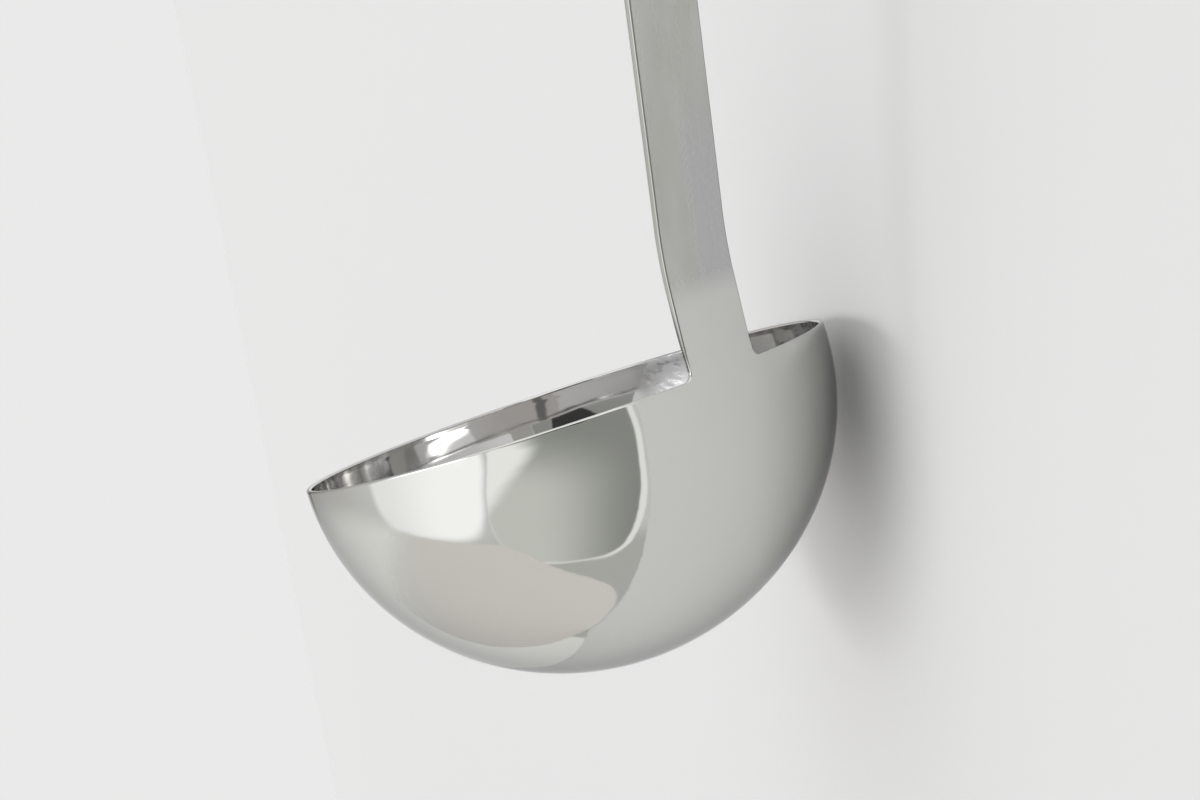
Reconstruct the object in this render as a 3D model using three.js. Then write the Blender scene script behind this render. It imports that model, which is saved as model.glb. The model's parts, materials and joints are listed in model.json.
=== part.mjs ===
// A soup ladle in polished stainless steel, hanging by its hook.
//
// The bowl is a drawn hemisphere with a plain rim, its sheet thinner there than at the bottom. The handle is
// one flat strip: its foot is curved and thinned like the rim and filleted into it, its neck leans outward,
// a gentle bend sets the grip further out, and the top curls back into a hook. A ground butt weld joins the
// handle's foot to the rim.
//
// Millimetres. The pieces are drawn about the bowl: its axis is Z, the middle of its rim is the origin and
// the handle rises on the +X side. The group then turns and lifts them so that the ladle hangs plumb, with
// the place where its hook bears at the origin.

import * as THREE from 'three';

// Bowl
const BOWL_RADIUS = 45; // outside, at the rim
const BOWL_DEPTH = 44.6; // outside, from the rim down to the lowest point
const BOWL_BASE = 1.3; // thickness at the lowest point
const BOWL_WALL = 0.9; // thickness at the rim
const RIM_STRAIGHT = 1.4; // upright collar between the curve of the bowl and the rim
const RIM_EDGE_RADIUS = 0.35;

// Handle strip
const HANDLE_WIDTH = 12.8;
const HANDLE_THICKNESS = 1.3;
const HANDLE_EDGE_RADIUS = 0.3;
const ROOT_FILLET_RADIUS = 1.3; // in the plane of the strip, where its foot widens into the rim
const FLATTEN_LENGTH = 20; // over this length the strip loses the rim's curve and turns flat
const THICKEN_LENGTH = 8; // over this length it grows from the rim's thickness to its own

// Middle line of the strip's back face, from the rim to the tip of the hook
const ROOT_BEND_LENGTH = 4;
const NECK_LEAN = 5.2; // degrees outward from the bowl's axis
const NECK_LENGTH = 9;
const NECK_BEND_RADIUS = 47;
const GRIP_LEAN = 17.3; // degrees outward from the bowl's axis
const GRIP_LENGTH = 205;
const HOOK_INNER_RADIUS = 9;
const HOOK_SWEEP = 172; // degrees
const HOOK_TIP_LENGTH = 13;
const TIP_CORNER_RADIUS = 4.5;
const TIP_CORNER_SHARE = 0.9; // most of the half width that a corner at the tip may take

// Weld between the rim and the handle's foot
const WELD_HEIGHT = 0.9;
const WELD_GAP = 0.2; // clearance above and below the weld

// Fineness of the facets
const BOWL_SIDES = 64;
const BOWL_ARC_STEPS = 18;
const EDGE_ARC_STEPS = 3;
const FACE_STEPS = 6;
const CURVE_STEP = 8; // degrees of turn between two sections of the strip
const FILLET_STEPS = 6;
const FLATTEN_STEPS = 8;
const SECTION_SPACING = 0.05; // least distance between two sections of the strip
const COLLAR_SPACING = 0.05; // least height left for the collar under the rounded rim

// Finish
const STEEL_COLOUR = 0xb8b9b2;
const BOWL_ROUGHNESS = 0.12; // mirror polish
const STRIP_ROUGHNESS = 0.2; // satin polish

const { degToRad, lerp, smoothstep } = THREE.MathUtils;

function polishedSteel(roughness) {
  return new THREE.MeshStandardMaterial({ color: STEEL_COLOUR, roughness, metalness: 1 });
}

// Points of a quarter circle or ellipse about (x, y), from one angle to another in degrees.
function arcPoints(x, y, radiusX, radiusY, from, to, steps) {
  const arc = new THREE.EllipseCurve(x, y, radiusX, radiusY, degToRad(from), degToRad(to), to < from);
  return arc.getPoints(steps);
}

// The bowl is its wall's section turned about the axis. The outline climbs the outside, rounds the rim and
// goes back down the inside, so that every face looks out of the metal.
function bowlGeometry() {
  const edge = Math.min(RIM_EDGE_RADIUS, BOWL_WALL / 2);
  const collar = Math.max(RIM_STRAIGHT, edge + COLLAR_SPACING);
  const innerRadius = BOWL_RADIUS - BOWL_WALL;
  const outerCurve = BOWL_DEPTH - collar;
  const innerCurve = outerCurve - BOWL_BASE;
  const outside = arcPoints(0, -collar, BOWL_RADIUS, outerCurve, -90, 0, BOWL_ARC_STEPS);
  const outerEdge = arcPoints(BOWL_RADIUS - edge, -edge, edge, edge, 0, 90, EDGE_ARC_STEPS);
  const innerEdge = arcPoints(innerRadius + edge, -edge, edge, edge, 90, 180, EDGE_ARC_STEPS);
  const inside = arcPoints(0, -collar, innerRadius, innerCurve, 0, -90, BOWL_ARC_STEPS);
  const outline = [...outside, ...outerEdge, ...innerEdge, ...inside];
  outline[0].x = 0;
  outline.at(-1).x = 0;
  const geometry = new THREE.LatheGeometry(outline, BOWL_SIDES);
  return geometry.rotateX(Math.PI / 2);
}

// The middle line as runs that follow one another, each with its length and the angle that it turns through.
const neckTurn = degToRad(GRIP_LEAN - NECK_LEAN);
const hookTurn = degToRad(HOOK_SWEEP);
const MIDDLE_LINE = [
  { length: ROOT_BEND_LENGTH, turn: degToRad(NECK_LEAN) },
  { length: NECK_LENGTH, turn: 0 },
  { length: NECK_BEND_RADIUS * neckTurn, turn: neckTurn },
  { length: GRIP_LENGTH, turn: 0 },
  { length: HOOK_INNER_RADIUS * hookTurn, turn: hookTurn },
  { length: HOOK_TIP_LENGTH, turn: 0 },
];
const STRIP_LENGTH = MIDDLE_LINE.reduce((sum, run) => sum + run.length, 0);

// Where the middle line is at a distance from the rim, and how far it leans outward there.
function middleLine(distance) {
  let x = BOWL_RADIUS;
  let z = 0;
  let lean = 0;
  let left = distance;
  for (const { length, turn } of MIDDLE_LINE) {
    const walked = Math.min(left, length);
    const turned = (turn * walked) / length;
    if (turn === 0) {
      x += walked * Math.sin(lean);
      z += walked * Math.cos(lean);
    } else {
      const radius = length / turn;
      x += radius * (Math.cos(lean) - Math.cos(lean + turned));
      z += radius * (Math.sin(lean + turned) - Math.sin(lean));
    }
    lean += turned;
    left -= walked;
  }
  return { x, z, lean };
}

// Half the strip's width: fillets widen it at the foot, and rounded corners narrow it at the tip.
function halfWidth(distance) {
  const plain = HANDLE_WIDTH / 2;
  const corner = Math.min(TIP_CORNER_RADIUS, TIP_CORNER_SHARE * plain);
  const toTip = STRIP_LENGTH - distance;
  if (distance < ROOT_FILLET_RADIUS) {
    const height = ROOT_FILLET_RADIUS - distance;
    return plain + ROOT_FILLET_RADIUS - Math.sqrt(ROOT_FILLET_RADIUS ** 2 - height ** 2);
  }
  if (toTip < corner) {
    return plain - corner + Math.sqrt(corner ** 2 - (corner - toTip) ** 2);
  }
  return plain;
}

// The strip's thickness: the rim's at the foot, growing on the front side to its own.
function thickness(distance) {
  return lerp(BOWL_WALL, HANDLE_THICKNESS, smoothstep(distance, 0, THICKEN_LENGTH));
}

// One section of the strip, a flat bar with rounded edges, as points (across, out of the back face).
function sectionOutline(distance) {
  const half = halfWidth(distance);
  const thick = thickness(distance);
  const edge = Math.min(HANDLE_EDGE_RADIUS, thick / 2, half);
  const side = half - edge;
  const front = edge - thick;
  const facePoint = (i) => -side + (2 * side * i) / FACE_STEPS;
  const inner = Array.from({ length: FACE_STEPS - 1 }, (_, i) => i + 1);
  return [
    ...arcPoints(-side, -edge, edge, edge, 180, 90, EDGE_ARC_STEPS),
    ...inner.map((i) => new THREE.Vector2(facePoint(i), 0)),
    ...arcPoints(side, -edge, edge, edge, 90, 0, EDGE_ARC_STEPS),
    ...arcPoints(side, front, edge, edge, 0, -90, EDGE_ARC_STEPS),
    ...inner.map((i) => new THREE.Vector2(-facePoint(i), -thick)),
    ...arcPoints(-side, front, edge, edge, -90, -180, EDGE_ARC_STEPS),
  ];
}

// That section set across the middle line, curved like the rim near the foot and flat further up.
function placeSection(distance) {
  const { x, z, lean } = middleLine(distance);
  const curve = (1 - smoothstep(distance, 0, FLATTEN_LENGTH)) / BOWL_RADIUS;
  return sectionOutline(distance).map(({ x: across, y: out }) => {
    const angle = across * curve;
    const sideways = curve > 0 ? (1 / curve + out) * Math.sin(angle) : across;
    const outward = curve > 0 ? (1 / curve + out) * Math.cos(angle) - 1 / curve : out;
    return new THREE.Vector3(x + outward * Math.cos(lean), sideways, z - outward * Math.sin(lean));
  });
}

// Distances at which the strip needs a section: close together where it widens, thickens, curves or turns.
function sectionDistances(from, to) {
  const distances = [from, to];
  const addEvenly = (start, end, steps) => {
    for (let i = 0; i <= steps; i += 1) distances.push(start + ((end - start) * i) / steps);
  };
  for (let i = 0; i <= FILLET_STEPS; i += 1) {
    const along = 1 - Math.cos((i / FILLET_STEPS) * (Math.PI / 2));
    distances.push(ROOT_FILLET_RADIUS * along);
    distances.push(STRIP_LENGTH - TIP_CORNER_RADIUS * along);
  }
  addEvenly(ROOT_FILLET_RADIUS, FLATTEN_LENGTH, FLATTEN_STEPS);
  let start = 0;
  for (const { length, turn } of MIDDLE_LINE) {
    addEvenly(start, start + length, Math.max(1, Math.ceil(turn / degToRad(CURVE_STEP))));
    start += length;
  }
  const sorted = distances.filter((d) => d >= from && d <= to).sort((a, b) => a - b);
  const spaced = sorted.filter((d, i) => i === 0 || d - sorted[i - 1] > SECTION_SPACING);
  spaced[spaced.length - 1] = to;
  return spaced;
}

// A length of the strip as a closed loft through its sections.
function stripGeometry(from, to) {
  const rings = sectionDistances(from, to).map(placeSection);
  const count = rings[0].length;
  const index = [];
  for (let r = 0; r + 1 < rings.length; r += 1) {
    for (let i = 0; i < count; i += 1) {
      const next = (i + 1) % count;
      const [a, b] = [r * count + i, r * count + next];
      const [c, d] = [a + count, b + count];
      index.push(a, b, c, b, d, c);
    }
  }
  const lid = THREE.ShapeUtils.triangulateShape(sectionOutline(from).reverse(), []);
  const last = (rings.length - 1) * count;
  for (const [a, b, c] of lid) {
    const [p, q, s] = [count - 1 - a, count - 1 - b, count - 1 - c];
    index.push(p, q, s);
    index.push(last + p, last + s, last + q);
  }
  const geometry = new THREE.BufferGeometry().setFromPoints(rings.flat());
  geometry.setIndex(index);
  geometry.computeVertexNormals();
  return geometry;
}

// Volume and centre of mass of closed meshes of one metal, from the tetrahedra under their triangles.
function centreOfMass(meshes) {
  const sum = new THREE.Vector3();
  let volume = 0;
  const [a, b, c] = [new THREE.Vector3(), new THREE.Vector3(), new THREE.Vector3()];
  for (const { geometry } of meshes) {
    const { position } = geometry.attributes;
    const corners = geometry.index.array;
    for (let i = 0; i < corners.length; i += 3) {
      a.fromBufferAttribute(position, corners[i]);
      b.fromBufferAttribute(position, corners[i + 1]);
      c.fromBufferAttribute(position, corners[i + 2]);
      const part = a.dot(b.clone().cross(c)) / 6;
      volume += part;
      sum.addScaledVector(a.add(b).add(c), part / 4);
    }
  }
  return sum.divideScalar(volume);
}

function piece(name, geometry, roughness) {
  const mesh = new THREE.Mesh(geometry, polishedSteel(roughness));
  mesh.name = name;
  return mesh;
}

const weldTop = WELD_GAP + WELD_HEIGHT;
const bowl = piece('bowl', bowlGeometry(), BOWL_ROUGHNESS);
const weld = piece('weld_seam', stripGeometry(WELD_GAP, weldTop), STRIP_ROUGHNESS);
const handle = piece('handle', stripGeometry(weldTop + WELD_GAP, STRIP_LENGTH), STRIP_ROUGHNESS);

// The ladle swings until its centre of mass is straight below the middle of the hook's curve.
const hookStart = middleLine(STRIP_LENGTH - HOOK_TIP_LENGTH - HOOK_INNER_RADIUS * hookTurn);
const hookCentre = new THREE.Vector3(
  hookStart.x + HOOK_INNER_RADIUS * Math.cos(hookStart.lean),
  0,
  hookStart.z - HOOK_INNER_RADIUS * Math.sin(hookStart.lean),
);
const plumb = hookCentre.clone().sub(centreOfMass([bowl, weld, handle])).normalize();
const hangPoint = hookCentre.addScaledVector(plumb, HOOK_INNER_RADIUS);

const ladle = new THREE.Group();
ladle.add(bowl, weld, handle);
ladle.rotation.y = -Math.atan2(plumb.x, plumb.z);
ladle.position.copy(hangPoint).applyEuler(ladle.rotation).negate();

export default ladle;
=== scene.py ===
"""A polished soup ladle, hanging by its hook beside a pale wall.

The solids give the frame: metres, +Z up, the place where the hook bears at the origin. Every piece here is
drawn first about the bowl, whose axis is Z and whose handle rises on the +X side, and is then turned by the
angle at which the ladle hangs plumb.
"""

import json

import bmesh
import bpy
import numpy as np
from mathutils import Matrix, Vector


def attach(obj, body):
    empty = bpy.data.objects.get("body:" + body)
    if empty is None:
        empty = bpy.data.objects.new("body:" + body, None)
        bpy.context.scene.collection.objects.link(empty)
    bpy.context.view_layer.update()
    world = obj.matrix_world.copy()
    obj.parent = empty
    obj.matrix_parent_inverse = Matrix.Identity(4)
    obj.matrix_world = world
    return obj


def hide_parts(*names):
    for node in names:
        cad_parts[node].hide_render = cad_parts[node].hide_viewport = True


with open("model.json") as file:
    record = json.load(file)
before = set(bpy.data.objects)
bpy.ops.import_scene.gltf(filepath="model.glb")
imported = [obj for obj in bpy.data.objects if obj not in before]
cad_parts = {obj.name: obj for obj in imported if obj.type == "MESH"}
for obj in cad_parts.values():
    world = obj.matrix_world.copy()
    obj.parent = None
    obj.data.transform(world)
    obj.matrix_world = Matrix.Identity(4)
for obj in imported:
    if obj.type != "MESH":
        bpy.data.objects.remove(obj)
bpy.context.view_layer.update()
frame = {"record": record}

MM = 0.001

# Bowl
BOWL_RADIUS = 45.0 * MM
BOWL_DEPTH = 44.6 * MM
BOWL_BASE = 1.3 * MM
BOWL_WALL = 0.9 * MM
RIM_STRAIGHT = 1.4 * MM
RIM_EDGE = 0.35 * MM
INSIDE_FULLNESS = 0.12 * MM
FULLEST_DEPTH = 8.0 * MM
BOWL_SIDES = 360
CURVE_STEPS = 105
RIM_STEPS = 11
COLLAR_STEPS = 8

# Handle strip
HANDLE_HALF_WIDTH = 6.4 * MM
HANDLE_THICKNESS = 1.3 * MM
HANDLE_EDGE = 0.3 * MM
ROOT_FILLET = 1.3 * MM
FLATTEN_LENGTH = 20.0 * MM
THICKEN_LENGTH = 8.0 * MM
NECK_LEAN = np.radians(5.2)
GRIP_LEAN = np.radians(17.3)
NECK_BEND_RADIUS = 47.0 * MM
HOOK_RADIUS = 9.0 * MM
HOOK_SWEEP = np.radians(172.0)
TIP_CORNER = 4.5 * MM
WELD_TOP = 1.2 * MM
WELD_RINGS = 40
FACE_STEPS = 33
EDGE_STEPS = 9

# Middle line of the strip's back face from the rim to the tip: runs of (length, turn)
MIDDLE_LINE = (
    (4.0 * MM, NECK_LEAN),
    (9.0 * MM, 0.0),
    (NECK_BEND_RADIUS * (GRIP_LEAN - NECK_LEAN), GRIP_LEAN - NECK_LEAN),
    (205.0 * MM, 0.0),
    (HOOK_RADIUS * HOOK_SWEEP, HOOK_SWEEP),
    (13.0 * MM, 0.0),
)
HOOK_RUN = 4
STRIP_LENGTH = sum(length for length, _ in MIDDLE_LINE)

# Steel
STEEL = (0.655, 0.661, 0.63, 1)
STEEL_INSIDE = (0.675, 0.67, 0.66, 1)
STEEL_SCUFFED = (0.36, 0.36, 0.365, 1)
# Painted shade: this grey darkens the outside of the bowl where it is seen edge on, standing in for the
# shadowed wall that it reflects there
PAINTED_EDGE_SHADE = (0.56, 0.56, 0.57, 1)
NO_TINT = (1, 1, 1, 1)
SCUFF = Vector((-29.0, 39.0, -266.5)) * MM
PIT = (0.22, 0.22, 0.21, 1)
SATIN = (0.51, 0.515, 0.482, 1)
SATIN_PALE = (0.56, 0.565, 0.536, 1)
SATIN_COOL = (0.52, 0.52, 0.53, 1)
# Painted reflection: a dark line on each rounded corner of the strip, standing in for the dark reflections
# seen along its edges
PAINTED_EDGE_LINE = (0.26, 0.26, 0.255, 1)
POLISHED_LENGTH = 10.2 * MM
POLISH_FADE = 5.0 * MM
COOL_LENGTH = 30.0 * MM
COOL_FADE = 15.0 * MM

# Marks on the steel: the size of their features and the depth of their relief
PRESS_WAVE = (14 * MM,) * 3
PRESS_WAVE_DEPTH = 0.10 * MM
POLISH_RING = (30 * MM, 30 * MM, 3 * MM)
POLISH_RING_DEPTH = 0.02 * MM
SMEAR = (22 * MM,) * 3
PIT_SPACING = 17 * MM
SCRATCH = (2.4 * MM, 1.4 * MM, 0.8 * MM)
SCRATCH_DEPTH = 0.02 * MM
SCUFF_CORE = 4 * MM
SCUFF_REACH = 10 * MM
POLISH_LINE = (0.8 * MM, 90 * MM, 1.0)
SATIN_CLOUD = (5 * MM, 22 * MM, 1.0)
PIT_EDGE = (0.009, 0.016)
CORNER_LINE_START = (0.03 * MM, 0.09 * MM)
CORNER_LINE_END = (0.24 * MM, 0.30 * MM)

# Roughness of each finish from its smoothest to its roughest, and the span of a noise that this covers
MIRROR_ROUGHNESS = (0.04, 0.075)
SCUFFED_ROUGHNESS = (0.22, 0.40)
SATIN_ROUGHNESS = (0.27, 0.30)
BRIGHT_ROUGHNESS = (0.10, 0.16)
SMEAR_SPAN = (0.35, 0.7)
NOISE_SPAN = (0.3, 0.7)

# Camera of the photograph, about the point that it looks at
CAMERA_AIM = Vector((-8.83, 4.75, -254.09)) * MM
CAMERA_DISTANCE = 385.7 * MM
CAMERA_AZIMUTH = 51.657
CAMERA_ELEVATION = 24.928
CAMERA_ROLL = np.radians(-2.534)
PHOTO_WIDTH = 1200
FOCAL_PIXELS = 2317.0
SENSOR_WIDTH = 36.0

# Stage
WALL_YAW = np.radians(27.0)
WALL_GAP = 3.6 * MM
WALL_RIGHT = 160.0 * MM
WALL_REACH = 12.0
FLOOR_HEIGHT = -1.5
FLOOR_MIDDLE = (-0.1, -0.97)
FLOOR_HALF = (1.0, 0.93)
FLOOR_SIDES = 96
WALL_COLOUR = (0.767, 0.768, 0.772, 1)
FLOOR_COLOUR = (0.86, 0.82, 0.805, 1)
FLOOR_LEFT_COLOUR = (0.88, 0.87, 0.855, 1)
FLOOR_PALING = (-1.0, -0.3)
FLOOR_FADING = (-1.1, -0.7)

# Room: brightness of what the steel reflects, and of the background that the camera sees
ROOM = (0.74, 0.74, 0.735, 1)
ROOM_LEFT = (0.66, 0.64, 0.625, 1)
ROOM_LOW = (0.56, 0.56, 0.545, 1)
ROOM_LOW_LEFT = (0.95, 0.95, 0.93, 1)
CEILING = (1.2, 1.2, 1.2, 1)
DOORWAY = (0.22, 0.22, 0.215, 1)
WINDOW = (1.33, 1.33, 1.33, 1)
WINDOW_DIM = (1.12, 1.12, 1.12, 1)
WINDOW_TOP = (6.5, 6.5, 6.5, 1)
SCREEN_HEM = (1.05, 1.05, 1.04, 1)
SCREEN_LIT = (1.15, 1.15, 1.14, 1)
SCREEN_PALE = (0.74, 0.75, 0.72, 1)
SCREEN_DARK = (0.33, 0.335, 0.32, 1)
CARD = (0.05, 0.05, 0.05, 1)
BACKGROUND = (0.82, 0.82, 0.818, 1)

# Patches of the room in degrees: azimuth and elevation of the middle, half sizes, softness of the outline
DOORWAY_PATCH = ((-103, -8), (4.5, 22), 0.5)
HEM_PATCH = ((51.2, -2.2), (31.4, 40.5), 0.06)
SCREEN_PATCH = ((50, -2), (30, 40), 0.06)
CARD_PATCH = ((43, 52), (18, 11), 0.06)
WINDOW_PATCH = ((-8.5, -10), (27, 23), 0.3)
SCREEN_SLANT = 0.65
CARD_TILT = 0.4


def middle_line(distance):
    """Place and lean of the strip's middle line at each distance from the rim.

    Each run takes its clipped share of the distance. A straight run adds that share along the lean so far;
    an arc of radius length / turn adds the chord between the leans before and after it.
    """
    x = np.full_like(distance, BOWL_RADIUS)
    z = np.minimum(distance, 0.0)
    lean = np.zeros_like(distance)
    start = 0.0
    for length, turn in MIDDLE_LINE:
        walked = np.clip(distance - start, 0.0, length)
        if turn:
            radius = length / turn
            after = lean + walked / radius
            x = x + radius * (np.cos(lean) - np.cos(after))
            z = z + radius * (np.sin(after) - np.sin(lean))
            lean = after
        else:
            x = x + walked * np.sin(lean)
            z = z + walked * np.cos(lean)
        start += length
    return x, z, lean


def hanging_place():
    """Turn and shift from the bowl's own frame to the hanging frame.

    The turn is the grip's lean about the bowl less its lean in the frame, which the back face's normal
    gives. The shift puts the middle of the hook's curve one hook radius below the origin.
    """
    mounts = {mount["name"]: mount for mount in frame["record"]["mounts"]}
    normal = mounts["grip_back"]["axis"]
    turn = GRIP_LEAN + np.arctan2(normal[2], normal[0])
    hook_start = np.array([sum(length for length, _ in MIDDLE_LINE[:HOOK_RUN])])
    x, z, lean = (values[0] for values in middle_line(hook_start))
    centre_x = x + HOOK_RADIUS * np.cos(lean)
    centre_z = z - HOOK_RADIUS * np.sin(lean)
    rotation = np.array([[np.cos(turn), 0, -np.sin(turn)], [0, 1, 0], [np.sin(turn), 0, np.cos(turn)]])
    shift = np.array([0, 0, -HOOK_RADIUS]) - rotation @ np.array([centre_x, 0, centre_z])
    return rotation, shift


HANG_ROTATION, HANG_SHIFT = hanging_place()


def hang(points):
    """Points from the bowl's own frame, turned and shifted to where the ladle hangs."""
    return points @ HANG_ROTATION.T + HANG_SHIFT


def make_mesh(name, points, faces, uv=None):
    """A mesh object from points, faces and one texture coordinate a point, smooth but for hard edges."""
    mesh = bpy.data.meshes.new(name)
    mesh.from_pydata(points, [], faces)
    if uv is not None:
        layer = mesh.uv_layers.new(name="sheet")
        corners = np.empty(len(mesh.loops), dtype=np.int64)
        mesh.loops.foreach_get("vertex_index", corners)
        layer.data.foreach_set("uv", np.ascontiguousarray(uv[corners], dtype=np.float32).ravel())
    work = bmesh.new()
    work.from_mesh(mesh)
    bmesh.ops.remove_doubles(work, verts=work.verts, dist=1e-8)
    bmesh.ops.recalc_face_normals(work, faces=work.faces)
    work.to_mesh(mesh)
    work.free()
    mesh.shade_smooth()
    mesh.set_sharp_from_angle(angle=np.radians(35))
    piece = bpy.data.objects.new(name, mesh)
    bpy.context.scene.collection.objects.link(piece)
    return piece


def grid_faces(rows, columns, wrap):
    """Quads of a grid of points stored row by row, with the last column joined to the first if it wraps."""
    across = np.arange(columns if wrap else columns - 1)
    row = np.arange(rows - 1)[:, None] * columns
    here = row + across
    beside = row + (across + 1) % columns
    return np.stack([here, beside, beside + columns, here + columns], axis=-1).reshape(-1, 4)


def bowl_profile():
    """Outline of the bowl's wall, from the pole outside, over the rounded rim, to the pole inside.

    The outside and the inside are quarter ellipses with their middle at the foot of a short upright collar,
    and two quarter circles of the edge radius round the rim's corners above it. Inside, the wall is a touch
    fuller under the collar: x squared times e to the 1 - x squared, for the depth x in fullest depths.
    """
    inner_radius = BOWL_RADIUS - BOWL_WALL
    outer_curve = BOWL_DEPTH - RIM_STRAIGHT
    inner_curve = outer_curve - BOWL_BASE
    climb = np.radians(np.linspace(-90, 0, CURVE_STEPS))
    fall = climb[::-1]
    edge = np.radians(np.linspace(0, 90, RIM_STEPS))
    collar = np.linspace(-RIM_STRAIGHT, -RIM_EDGE, COLLAR_STEPS)[1:-1]
    outside = np.stack([BOWL_RADIUS * np.cos(climb), outer_curve * np.sin(climb) - RIM_STRAIGHT], 1)
    outer_collar = np.stack([np.full_like(collar, BOWL_RADIUS), collar], 1)
    outer_edge = np.stack([BOWL_RADIUS + RIM_EDGE * (np.cos(edge) - 1), RIM_EDGE * (np.sin(edge) - 1)], 1)
    inner_edge = np.stack([inner_radius + RIM_EDGE * (1 - np.sin(edge)), RIM_EDGE * (np.cos(edge) - 1)], 1)
    inner_collar = np.stack([np.full_like(collar, inner_radius), collar[::-1]], 1)
    inside = np.stack([inner_radius * np.cos(fall), inner_curve * np.sin(fall) - RIM_STRAIGHT], 1)
    depth = (inside[:, 1] / FULLEST_DEPTH) ** 2
    inside[:, 0] += INSIDE_FULLNESS * depth * np.exp(1 - depth) * np.cos(fall)
    outline = np.concatenate([outside, outer_collar, outer_edge, inner_edge, inner_collar, inside])
    outline[[0, -1], 0] = 0.0
    return outline


def make_bowl():
    """The profile turned about the bowl's axis: (radius cos a, radius sin a, height) for each angle a."""
    outline = bowl_profile()
    around = np.linspace(0, 2 * np.pi, BOWL_SIDES, endpoint=False)
    radius, height = outline[:, :1], outline[:, 1:]
    points = np.stack(
        [radius * np.cos(around), radius * np.sin(around), height + 0 * around], axis=-1
    ).reshape(-1, 3)
    steps = np.hypot(*np.diff(outline, axis=0).T)
    along = np.concatenate([[0.0], np.cumsum(steps)])
    past_rim = along - along[outline[:, 1].argmax()]
    uv = np.stack(np.broadcast_arrays(around * BOWL_RADIUS, past_rim[:, None]), axis=-1).reshape(-1, 2)
    faces = grid_faces(len(outline), len(around), wrap=True)
    return make_mesh("bowl_shell", hang(points), faces.tolist(), uv)


def strip_half_width(distance, inset):
    """Half the strip's width at a distance from the rim, for an outline set in by an amount.

    Near the rim the outline is the fillet's circle, whose middle lies outside the strip, so setting it in
    makes the circle larger. Near the tip it is the corner's circle, which setting in makes smaller.
    """
    centre = HANDLE_HALF_WIDTH + ROOT_FILLET
    below = np.clip(ROOT_FILLET - distance, 0.0, None)
    fillet = centre - np.sqrt(np.clip((ROOT_FILLET + inset) ** 2 - below**2, 0.0, None))
    past = np.clip(TIP_CORNER - (STRIP_LENGTH - distance), 0.0, TIP_CORNER)
    corner = np.sqrt(np.clip((TIP_CORNER - inset) ** 2 - past**2, 0.0, None)) - TIP_CORNER
    return np.where(distance < STRIP_LENGTH / 2, fillet, HANDLE_HALF_WIDTH + corner)


def smooth_share(value, reach):
    """Share of a reach that a value has covered, from 0 to 1 by a smooth step."""
    share = np.clip(value / reach, 0.0, 1.0)
    return share * share * (3 - 2 * share)


def strip_ring():
    """Once round the strip's section: share of the half width, front or back, depth under that face, inset.

    The back face, an edge, the front face and the other edge follow one another. An edge is two quarter
    circles of the edge radius with a flat between them. The inset is the outline's at that depth.
    """
    share = np.linspace(-1, 1, FACE_STEPS)
    turn = np.radians(np.linspace(0, 90, EDGE_STEPS))[1:]
    depth = HANDLE_EDGE * (1 - np.cos(turn))
    inset = HANDLE_EDGE * (1 - np.sin(turn))
    flat = np.zeros_like(share)
    ones = np.ones_like(turn)
    shares = np.concatenate([share, ones, ones, -share, -ones, -ones])
    fronts = np.concatenate([flat, 0 * ones, ones, flat + 1, ones, 0 * ones])
    depths = np.concatenate([flat, depth, depth[::-1], flat, depth, depth[::-1]])
    insets = np.concatenate([flat + HANDLE_EDGE, inset, inset[::-1]] * 2)
    return shares, fronts, depths, insets


def strip_points(distances):
    """The section's ring set across the middle line at each distance.

    Across the strip the section is an arc of the rim's radius at the foot. Its curvature falls to nothing,
    by a smooth step, over the flattening length, and its thickness grows from the rim's to its own in the
    same way. Over the last edge radius the ring closes in at the tip.
    """
    shares, fronts, depths, insets = strip_ring()
    s = distances[:, None]
    across = shares * strip_half_width(s, insets)
    into_tip = np.clip(s - (STRIP_LENGTH - HANDLE_EDGE), 0.0, HANDLE_EDGE)
    least = HANDLE_EDGE - np.sqrt(np.clip(HANDLE_EDGE**2 - into_tip**2, 0.0, None))
    thickness = BOWL_WALL + (HANDLE_THICKNESS - BOWL_WALL) * smooth_share(s, THICKEN_LENGTH)
    depth = np.maximum(depths, least)
    depth = np.where(fronts > 0, thickness - depth, depth)
    curvature = np.maximum((1 - smooth_share(s, FLATTEN_LENGTH)) / BOWL_RADIUS, 1e-6)
    sideways = (1 / curvature - depth) * np.sin(across * curvature)
    outward = (1 / curvature - depth) * np.cos(across * curvature) - 1 / curvature
    x, z, lean = middle_line(s)
    points = np.stack(
        [x + outward * np.cos(lean), sideways, z - outward * np.sin(lean)], axis=-1
    )
    uv = np.stack(np.broadcast_arrays(across + depth, s), axis=-1)
    return points, uv


def make_strip(name, distances):
    """A length of the strip: its rings joined by quads, with a face over each end."""
    points, uv = strip_points(distances)
    rows, columns, _ = points.shape
    faces = grid_faces(rows, columns, wrap=True).tolist()
    faces.append(list(range(columns)))
    faces.append(list(range((rows - 1) * columns, rows * columns)))
    return make_mesh(name, hang(points.reshape(-1, 3)), faces, uv.reshape(-1, 2))


def make_weld():
    """The ground weld: the strip's foot, from where the rim begins to round up to the handle."""
    return make_strip("weld_bead", np.linspace(-RIM_EDGE, WELD_TOP, WELD_RINGS))


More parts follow.
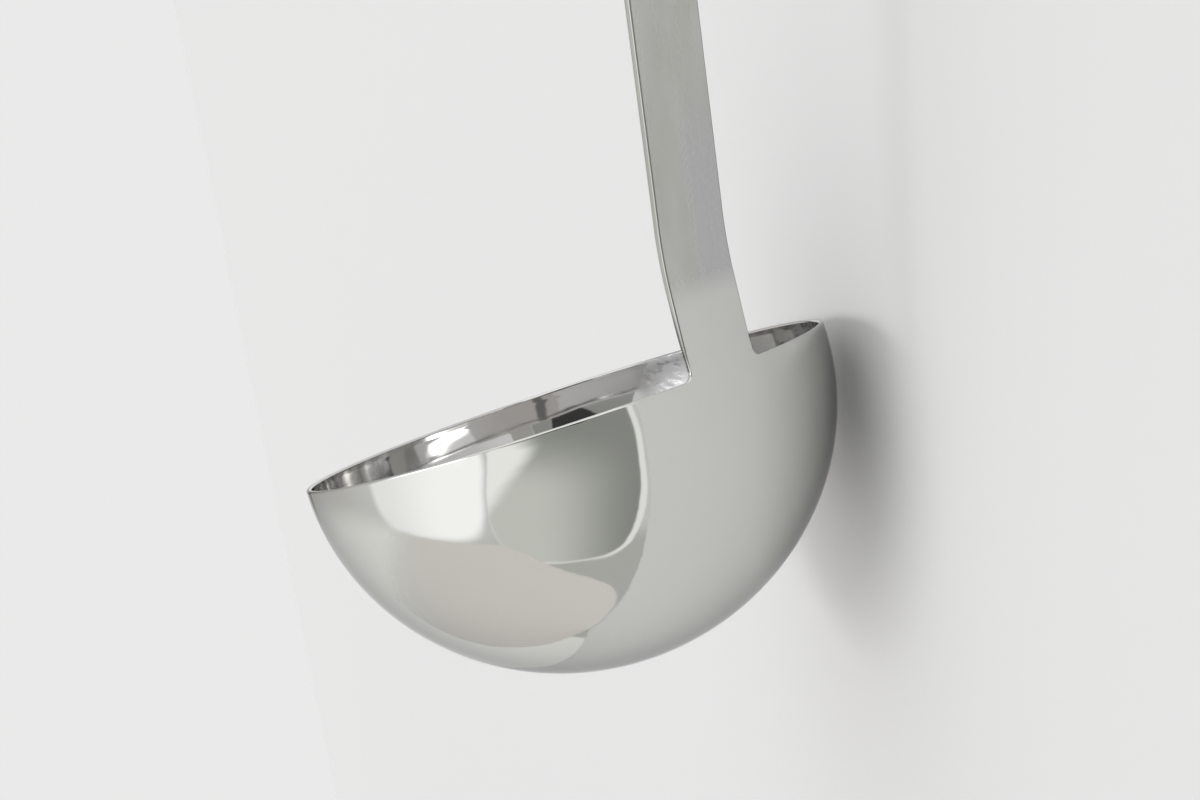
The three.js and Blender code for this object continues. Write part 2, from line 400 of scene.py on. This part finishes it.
def make_handle():
    """The strip from the weld to the tip, with rings close together where it widens, bends or ends."""
    starts = np.cumsum([0.0] + [length for length, _ in MIDDLE_LINE])
    foot_end = 3 * MM
    bend_end = starts[3] + 2 * MM
    corner_start = STRIP_LENGTH - TIP_CORNER
    tip_start = STRIP_LENGTH - HANDLE_EDGE
    stretches = (
        (WELD_TOP, foot_end, 30),
        (foot_end, bend_end, 140),
        (bend_end, starts[4], 80),
        (starts[4], starts[5], 90),
        (starts[5], corner_start, 12),
        (corner_start, tip_start, 40),
    )
    even = [np.linspace(start, end, rings)[1:] for start, end, rings in stretches]
    rounded = STRIP_LENGTH - HANDLE_EDGE * (1 - np.sin(np.radians(np.linspace(0, 90, 8)[1:])))
    return make_strip("handle_strip", np.concatenate([[WELD_TOP], *even, rounded]))


class Nodes:
    """A node tree, with short calls for the nodes that the materials are made of."""

    def __init__(self, tree):
        self.tree = tree

    def add(self, kind, **settings):
        node = self.tree.nodes.new(kind)
        for name, value in settings.items():
            setattr(node, name, value)
        return node

    def feed(self, socket, value):
        """Sets a socket to a constant, or links it to another node's output."""
        if isinstance(value, bpy.types.NodeSocket):
            self.tree.links.new(value, socket)
        else:
            socket.default_value = value

    def math(self, operation, *values):
        node = self.add("ShaderNodeMath", operation=operation)
        for socket, value in zip(node.inputs, values):
            self.feed(socket, value)
        return node.outputs[0]

    def ramp(self, value, low, high, start=0.0, end=1.0):
        """A smooth step of a value between two limits."""
        node = self.add("ShaderNodeMapRange", interpolation_type="SMOOTHSTEP")
        for name, number in (("From Min", low), ("From Max", high), ("To Min", start), ("To Max", end)):
            self.feed(node.inputs[name], number)
        self.feed(node.inputs["Value"], value)
        return node.outputs["Result"]

    def mix(self, share, first, second):
        """A colour between two others."""
        node = self.add("ShaderNodeMix", data_type="RGBA")
        for index, value in ((0, share), (6, first), (7, second)):
            self.feed(node.inputs[index], value)
        return node.outputs[2]

    def blend(self, share, first, second):
        """A number between two others."""
        node = self.add("ShaderNodeMix", data_type="FLOAT")
        for index, value in ((0, share), (2, first), (3, second)):
            self.feed(node.inputs[index], value)
        return node.outputs[0]

    def split(self, vector):
        """The three numbers of a vector."""
        node = self.add("ShaderNodeSeparateXYZ")
        self.feed(node.inputs[0], vector)
        return node.outputs[0], node.outputs[1], node.outputs[2]

    def noise(self, vector, size, detail=1.0):
        """Cloudy noise around a half, with features of a size, or of one size along each axis."""
        stretch = self.add("ShaderNodeVectorMath", operation="DIVIDE")
        self.feed(stretch.inputs[0], vector)
        self.feed(stretch.inputs[1], size)
        node = self.add("ShaderNodeTexNoise")
        self.feed(node.inputs["Vector"], stretch.outputs[0])
        self.feed(node.inputs["Scale"], 1.0)
        self.feed(node.inputs["Detail"], detail)
        return node.outputs["Fac"]

    def bump(self, height, depth, normal=None):
        """A surface raised by a height, 1 of which stands for a depth in metres."""
        node = self.add("ShaderNodeBump")
        self.feed(node.inputs["Height"], height)
        self.feed(node.inputs["Distance"], depth)
        if normal is not None:
            self.feed(node.inputs["Normal"], normal)
        return node.outputs[0]


def new_material(name):
    """A material, its nodes and its shader."""
    material = bpy.data.materials.new(name)
    material.use_nodes = True
    return material, Nodes(material.node_tree), material.node_tree.nodes["Principled BSDF"]


def bowl_relief(nodes, place, scratches, scuffed):
    """Relief of the bowl: low waves from the press, faint polishing rings about its axis, and scratches."""
    upright = nodes.add("ShaderNodeVectorRotate", rotation_type="Y_AXIS")
    nodes.feed(upright.inputs["Vector"], place)
    nodes.feed(upright.inputs["Angle"], np.arctan2(HANG_ROTATION[2, 0], HANG_ROTATION[0, 0]))
    waves = nodes.bump(nodes.noise(place, PRESS_WAVE), PRESS_WAVE_DEPTH)
    rings = nodes.bump(nodes.noise(upright.outputs[0], POLISH_RING), POLISH_RING_DEPTH, waves)
    return nodes.bump(scratches, nodes.math("MULTIPLY", scuffed, SCRATCH_DEPTH), rings)


def bowl_steel():
    """Mirror-polished sheet with faint smears and a few small pits, and painted shade that darkens it where
    it is seen edge on.

    The inside is a little more neutral, without that painted shade, and scuffed in one place under the rim.
    """
    material, nodes, shader = new_material("polished_steel")
    place = nodes.add("ShaderNodeTexCoord").outputs["Object"]
    _, past_rim, _ = nodes.split(nodes.add("ShaderNodeUVMap", uv_map="sheet").outputs[0])
    inside = nodes.ramp(past_rim, 0.0, 0.5 * MM)
    away = nodes.add("ShaderNodeVectorMath", operation="DISTANCE")
    nodes.feed(away.inputs[0], place)
    nodes.feed(away.inputs[1], SCUFF)
    near = nodes.ramp(away.outputs["Value"], SCUFF_CORE, SCUFF_REACH, 1.0, 0.0)
    scuffed = nodes.math("MULTIPLY", inside, near)
    scratches = nodes.noise(place, SCRATCH, 2.0)
    pits = nodes.add("ShaderNodeTexVoronoi")
    nodes.feed(pits.inputs["Vector"], place)
    nodes.feed(pits.inputs["Scale"], 1 / PIT_SPACING)
    pit = nodes.ramp(pits.outputs["Distance"], *PIT_EDGE, 1.0, 0.0)
    steel = nodes.mix(inside, STEEL, STEEL_INSIDE)
    steel = nodes.mix(scuffed, steel, STEEL_SCUFFED)
    polished = nodes.ramp(nodes.noise(place, SMEAR, 3.0), *SMEAR_SPAN, *MIRROR_ROUGHNESS)
    rough = nodes.ramp(scratches, *NOISE_SPAN, *SCUFFED_ROUGHNESS)
    nodes.feed(shader.inputs["Base Color"], nodes.mix(pit, steel, PIT))
    nodes.feed(shader.inputs["Metallic"], 1.0)
    # Painted shade: a grey tint darkens the outside's edge-on reflections
    nodes.feed(shader.inputs["Specular Tint"], nodes.mix(inside, PAINTED_EDGE_SHADE, NO_TINT))
    nodes.feed(shader.inputs["Roughness"], nodes.blend(scuffed, polished, rough))
    nodes.feed(shader.inputs["Normal"], bowl_relief(nodes, place, scratches, scuffed))
    return material


def strip_painted_corner_lines(nodes, along):
    """Share of the painted dark reflection line in each rounded corner of the strip, which fades in above
    the foot.
    """
    _, sideways, _ = nodes.split(nodes.add("ShaderNodeTexCoord").outputs["Object"])
    from_edge = nodes.math("SUBTRACT", HANDLE_HALF_WIDTH, nodes.math("ABSOLUTE", sideways))
    line = nodes.math(
        "MULTIPLY",
        nodes.ramp(from_edge, *CORNER_LINE_START),
        nodes.ramp(from_edge, *CORNER_LINE_END, 1.0, 0.0),
    )
    return nodes.math("MULTIPLY", line, nodes.ramp(along, ROOT_FILLET, 3 * ROOT_FILLET))


def satin_colour(nodes, sheet, across, along):
    """Cloudy satin of the grip, with a cooler side just above the bend."""
    clouds = nodes.noise(sheet, SATIN_CLOUD, 2.0)
    cool = nodes.math(
        "MULTIPLY",
        nodes.ramp(across, -1.5 * MM, 2 * MM),
        nodes.ramp(along, COOL_LENGTH, COOL_LENGTH + COOL_FADE, 1.0, 0.0),
    )
    colour = nodes.mix(nodes.ramp(clouds, *NOISE_SPAN), SATIN, SATIN_PALE)
    return nodes.mix(cool, colour, SATIN_COOL)


def strip_steel(name):
    """Strip with lengthwise polishing lines: satin on the grip, as bright as the bowl below the bend."""
    material, nodes, shader = new_material(name)
    sheet = nodes.add("ShaderNodeUVMap", uv_map="sheet").outputs[0]
    across, along, _ = nodes.split(sheet)
    satin = nodes.ramp(along, POLISHED_LENGTH, POLISHED_LENGTH + POLISH_FADE)
    steel = nodes.mix(satin, STEEL, satin_colour(nodes, sheet, across, along))
    lines = nodes.noise(sheet, POLISH_LINE)
    rough = nodes.ramp(lines, *NOISE_SPAN, *SATIN_ROUGHNESS)
    smooth = nodes.ramp(lines, *NOISE_SPAN, *BRIGHT_ROUGHNESS)
    # Painted reflection: a dark line is painted on each rounded corner of the strip
    nodes.feed(shader.inputs["Base Color"], nodes.mix(strip_painted_corner_lines(nodes, along), steel, PAINTED_EDGE_LINE))
    nodes.feed(shader.inputs["Metallic"], 1.0)
    nodes.feed(shader.inputs["Roughness"], nodes.blend(satin, smooth, rough))
    return material


def matt_paint(name, colour):
    """A matt stage paint, its nodes and its shader."""
    material, nodes, shader = new_material(name)
    nodes.feed(shader.inputs["Base Color"], colour)
    nodes.feed(shader.inputs["Roughness"], 0.9)
    nodes.feed(shader.inputs["Specular IOR Level"], 0.0)
    return material, nodes, shader


def floor_paint():
    """The floor's warm colour, which pales to the left and fades out there."""
    material, nodes, shader = matt_paint("floor_paint", FLOOR_COLOUR)
    across, _, _ = nodes.split(nodes.add("ShaderNodeTexCoord").outputs["Object"])
    colour = nodes.mix(nodes.ramp(across, *FLOOR_PALING), FLOOR_LEFT_COLOUR, FLOOR_COLOUR)
    nodes.feed(shader.inputs["Base Color"], colour)
    nodes.feed(shader.inputs["Alpha"], nodes.ramp(across, *FLOOR_FADING))
    return material


def one_sided(material):
    """Lets what is behind a stage plane show through its back."""
    nodes = Nodes(material.node_tree)
    mix = nodes.add("ShaderNodeMixShader")
    nodes.feed(mix.inputs[0], nodes.add("ShaderNodeNewGeometry").outputs["Backfacing"])
    nodes.feed(mix.inputs[1], material.node_tree.nodes["Principled BSDF"].outputs[0])
    nodes.feed(mix.inputs[2], nodes.add("ShaderNodeBsdfTransparent").outputs[0])
    nodes.feed(material.node_tree.nodes["Material Output"].inputs["Surface"], mix.outputs[0])
    return material


def stage_plane(name, corners, material):
    """A flat stage plane from its corners, which run anticlockwise as seen from its front."""
    mesh = bpy.data.meshes.new(name)
    mesh.from_pydata(corners, [], [list(range(len(corners)))])
    plane = bpy.data.objects.new(name, mesh)
    plane.data.materials.append(material)
    bpy.context.scene.collection.objects.link(plane)


def make_wall():
    """The wall that the bowl hangs against, which ends a little to the right."""
    outward = np.array([np.sin(WALL_YAW), np.cos(WALL_YAW), 0])
    along = np.array([np.cos(WALL_YAW), -np.sin(WALL_YAW), 0])
    touch = HANG_SHIFT + outward * (BOWL_RADIUS + WALL_GAP)
    left, right = touch - along * WALL_REACH, touch + along * WALL_RIGHT
    low, high = FLOOR_HEIGHT, WALL_REACH
    corners = [(*left[:2], low), (*right[:2], low), (*right[:2], high), (*left[:2], high)]
    paint, _, _ = matt_paint("wall_paint", WALL_COLOUR)
    stage_plane("wall", corners, one_sided(paint))


def make_floor():
    """The floor far below, with a rounded outline: signed square roots of a circle's cosine and sine."""
    around = np.linspace(0, 2 * np.pi, FLOOR_SIDES, endpoint=False)
    circle = np.stack([np.cos(around), np.sin(around)], 1)
    outline = np.sign(circle) * np.sqrt(np.abs(circle)) * FLOOR_HALF + FLOOR_MIDDLE
    stage_plane("floor", [(*place, FLOOR_HEIGHT) for place in outline], floor_paint())


def from_bearing(azimuth, elevation):
    """Direction from the ladle at an azimuth (0 is -Y, 90 is +X) and an elevation, in degrees."""
    a, e = np.radians(azimuth), np.radians(elevation)
    return Vector((np.sin(a) * np.cos(e), -np.cos(a) * np.cos(e), np.sin(e)))


def bearing_patch(nodes, azimuth, elevation, centre, half, soft):
    """Share of a rounded patch of the room: 1 inside, 0 outside, for bearings in degrees.

    The fourth powers of the two bearings from the patch's centre, as shares of its half width and half
    height, add up to 1 along its outline.
    """
    powers = []
    for bearing, middle, reach in zip((azimuth, elevation), centre, half):
        share = nodes.math("DIVIDE", nodes.math("SUBTRACT", bearing, middle), reach)
        powers.append(nodes.math("POWER", nodes.math("ABSOLUTE", share), 4.0))
    outline = nodes.math("ADD", *powers)
    return nodes.ramp(outline, 1 - soft, 1 + soft, 1.0, 0.0)


def room_colour(nodes, azimuth, elevation, height):
    """The pale room: greyer on the far left, brighter low on the left, with a bright ceiling."""
    colour = nodes.mix(nodes.ramp(azimuth, -70, -35), ROOM_LEFT, ROOM)
    low = nodes.mix(nodes.ramp(azimuth, -20, 40), ROOM_LOW_LEFT, ROOM_LOW)
    colour = nodes.mix(nodes.ramp(elevation, -36, -26), low, colour)
    return nodes.mix(nodes.ramp(height, 0.3, 1.0), colour, CEILING)


def screen_colour(nodes, azimuth, elevation):
    """The grey screen: darker to the right and higher up, and lit on the left of a slanting line."""
    colour = nodes.mix(nodes.ramp(azimuth, 38, 82), SCREEN_PALE, SCREEN_DARK)
    colour = nodes.mix(nodes.ramp(elevation, -10, 20), colour, SCREEN_DARK)
    slant = nodes.math("SUBTRACT", azimuth, nodes.math("MULTIPLY", elevation, SCREEN_SLANT))
    lit = nodes.math("MULTIPLY", nodes.ramp(slant, 28, 36, 1.0, 0.0), nodes.ramp(elevation, 8, 14, 1.0, 0.0))
    return nodes.mix(lit, colour, SCREEN_LIT)


def window_colour(nodes, azimuth, elevation):
    """The window: a little dimmer to the left, and brightest along its top but for the right end."""
    colour = nodes.mix(nodes.ramp(azimuth, -30, 0), WINDOW_DIM, WINDOW)
    top = nodes.math("MULTIPLY", nodes.ramp(elevation, -3, 9), nodes.ramp(azimuth, -1, 11, 1.0, 0.0))
    return nodes.mix(top, colour, WINDOW_TOP)


def make_light():
    """The room as the world's light, its patches laid in layers, and a pale backdrop for the camera."""
    world = bpy.data.worlds.new("room")
    world.use_nodes = True
    nodes = Nodes(world.node_tree)
    x, y, z = nodes.split(nodes.add("ShaderNodeTexCoord").outputs["Generated"])
    azimuth = nodes.math("DEGREES", nodes.math("ARCTAN2", x, nodes.math("MULTIPLY", y, -1.0)))
    elevation = nodes.math("DEGREES", nodes.math("ARCSINE", z))
    tilted = nodes.math("ADD", elevation, nodes.math("MULTIPLY", azimuth, CARD_TILT))
    layers = (
        (DOORWAY_PATCH, elevation, DOORWAY),
        (HEM_PATCH, elevation, SCREEN_HEM),
        (SCREEN_PATCH, elevation, screen_colour(nodes, azimuth, elevation)),
        (CARD_PATCH, tilted, CARD),
        (WINDOW_PATCH, elevation, window_colour(nodes, azimuth, elevation)),
    )
    room = room_colour(nodes, azimuth, elevation, z)
    for patch, height, colour in layers:
        room = nodes.mix(bearing_patch(nodes, azimuth, height, *patch), room, colour)
    seen = nodes.mix(nodes.add("ShaderNodeLightPath").outputs["Is Camera Ray"], room, BACKGROUND)
    nodes.feed(world.node_tree.nodes["Background"].inputs["Color"], seen)
    bpy.context.scene.world = world


def make_camera():
    """The photograph's camera: its bearing, distance, roll and focal length."""
    back = from_bearing(CAMERA_AZIMUTH, CAMERA_ELEVATION)
    lens = bpy.data.cameras.new("camera")
    lens.sensor_fit = "HORIZONTAL"
    lens.sensor_width = SENSOR_WIDTH
    lens.lens = FOCAL_PIXELS / PHOTO_WIDTH * SENSOR_WIDTH
    lens.clip_start = 0.01
    camera = bpy.data.objects.new("camera", lens)
    level = back.to_track_quat("Z", "Y").to_matrix().to_4x4()
    camera.matrix_world = (
        Matrix.Translation(CAMERA_AIM + back * CAMERA_DISTANCE)
        @ level
        @ Matrix.Rotation(CAMERA_ROLL, 4, "Z")
    )
    bpy.context.scene.collection.objects.link(camera)
    bpy.context.scene.camera = camera


def dress(piece, node, material):
    """Puts a finished piece in place of its solid."""
    piece.data.materials.append(material)
    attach(piece, "root")
    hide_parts(node)


dress(make_bowl(), "bowl", bowl_steel())
dress(make_weld(), "weld_seam", strip_steel("ground_weld"))
dress(make_handle(), "handle", strip_steel("handle_steel"))
make_wall()
make_floor()
make_light()
make_camera()
bpy.context.scene.view_settings.view_transform = "Standard"
# The inside of the bowl reflects itself many times over
bpy.context.scene.cycles.glossy_bounces = 12
